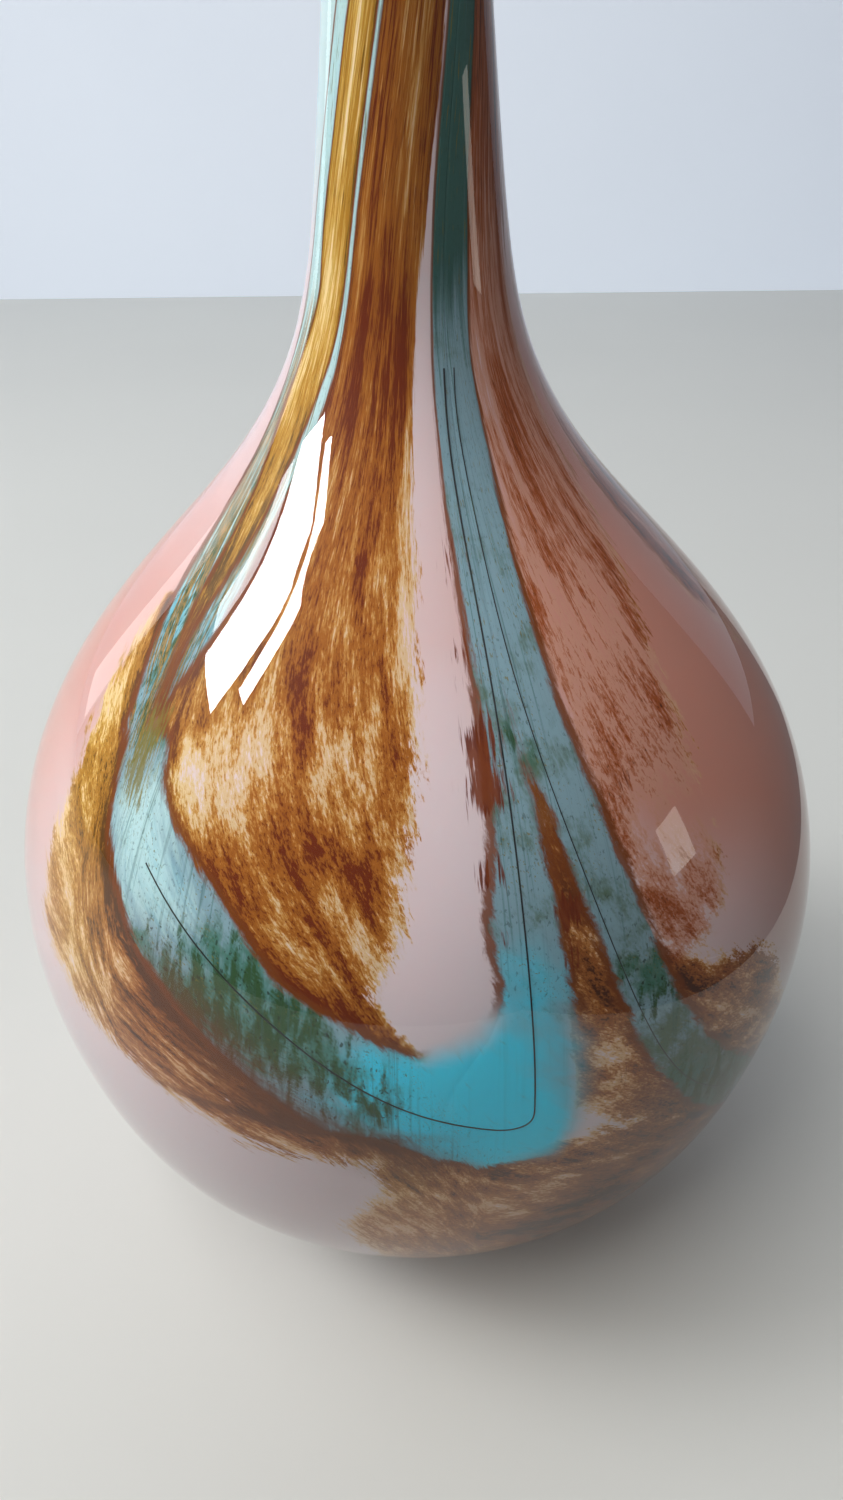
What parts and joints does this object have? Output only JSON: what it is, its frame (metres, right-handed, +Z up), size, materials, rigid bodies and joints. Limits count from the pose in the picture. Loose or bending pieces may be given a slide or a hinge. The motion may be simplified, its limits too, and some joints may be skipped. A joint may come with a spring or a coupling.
{
  "type": "vase",
  "caption": "Long-necked blown glass bottle vase with a round belly: opal glass with looped ribbons and crushed-glass panels under a clear casing.",
  "frame": {"origin": "centre of the flat base, on the surface the vase stands on", "axes": "+Z up along the axis of the vase; the front of the decoration faces -Y"},
  "size_m": [0.16, 0.16, 0.3],
  "materials": {
    "clear_glass": "clear, fire polished",
    "opal_glass": "opaque pale pink opal",
    "turquoise_glass": "opaque turquoise, mottled",
    "dark_thread": "nearly black",
    "olive_glass": "olive chip",
    "amber_frit": "crushed amber glass, streaked",
    "gold_frit": "crushed golden glass, streaked",
    "brown_frit": "crushed brown glass, streaked",
    "mauve_frit": "crushed rust glass over pink opal"
  },
  "bodies": {
    "root": {"clear_casing": "clear_glass", "opal_core": "opal_glass", "thread_front_leg": "dark_thread", "thread_front_sweep": "dark_thread", "thread_right": "dark_thread", "thread_back_leg": "dark_thread", "thread_back_sweep": "dark_thread", "knot_patch": "olive_glass", "ribbon_front_leg": "turquoise_glass", "ribbon_front_sweep": "turquoise_glass", "ribbon_right": "turquoise_glass", "ribbon_right_rise": "turquoise_glass", "ribbon_left_outer": "turquoise_glass", "ribbon_left_inner": "turquoise_glass", "ribbon_back_leg": "turquoise_glass", "ribbon_back_sweep": "turquoise_glass", "ribbon_back_merge": "turquoise_glass", "frit_between_legs": "brown_frit", "frit_front_panel": "amber_frit", "frit_golden_panel": "gold_frit", "frit_left_panel": "brown_frit", "frit_base_patch": "brown_frit", "frit_right_panel": "mauve_frit", "frit_right_streak": "mauve_frit", "frit_low_right": "brown_frit", "frit_back_panel": "amber_frit", "frit_back_low": "brown_frit", "frit_back_gold": "gold_frit"}
  },
  "joints": []
}
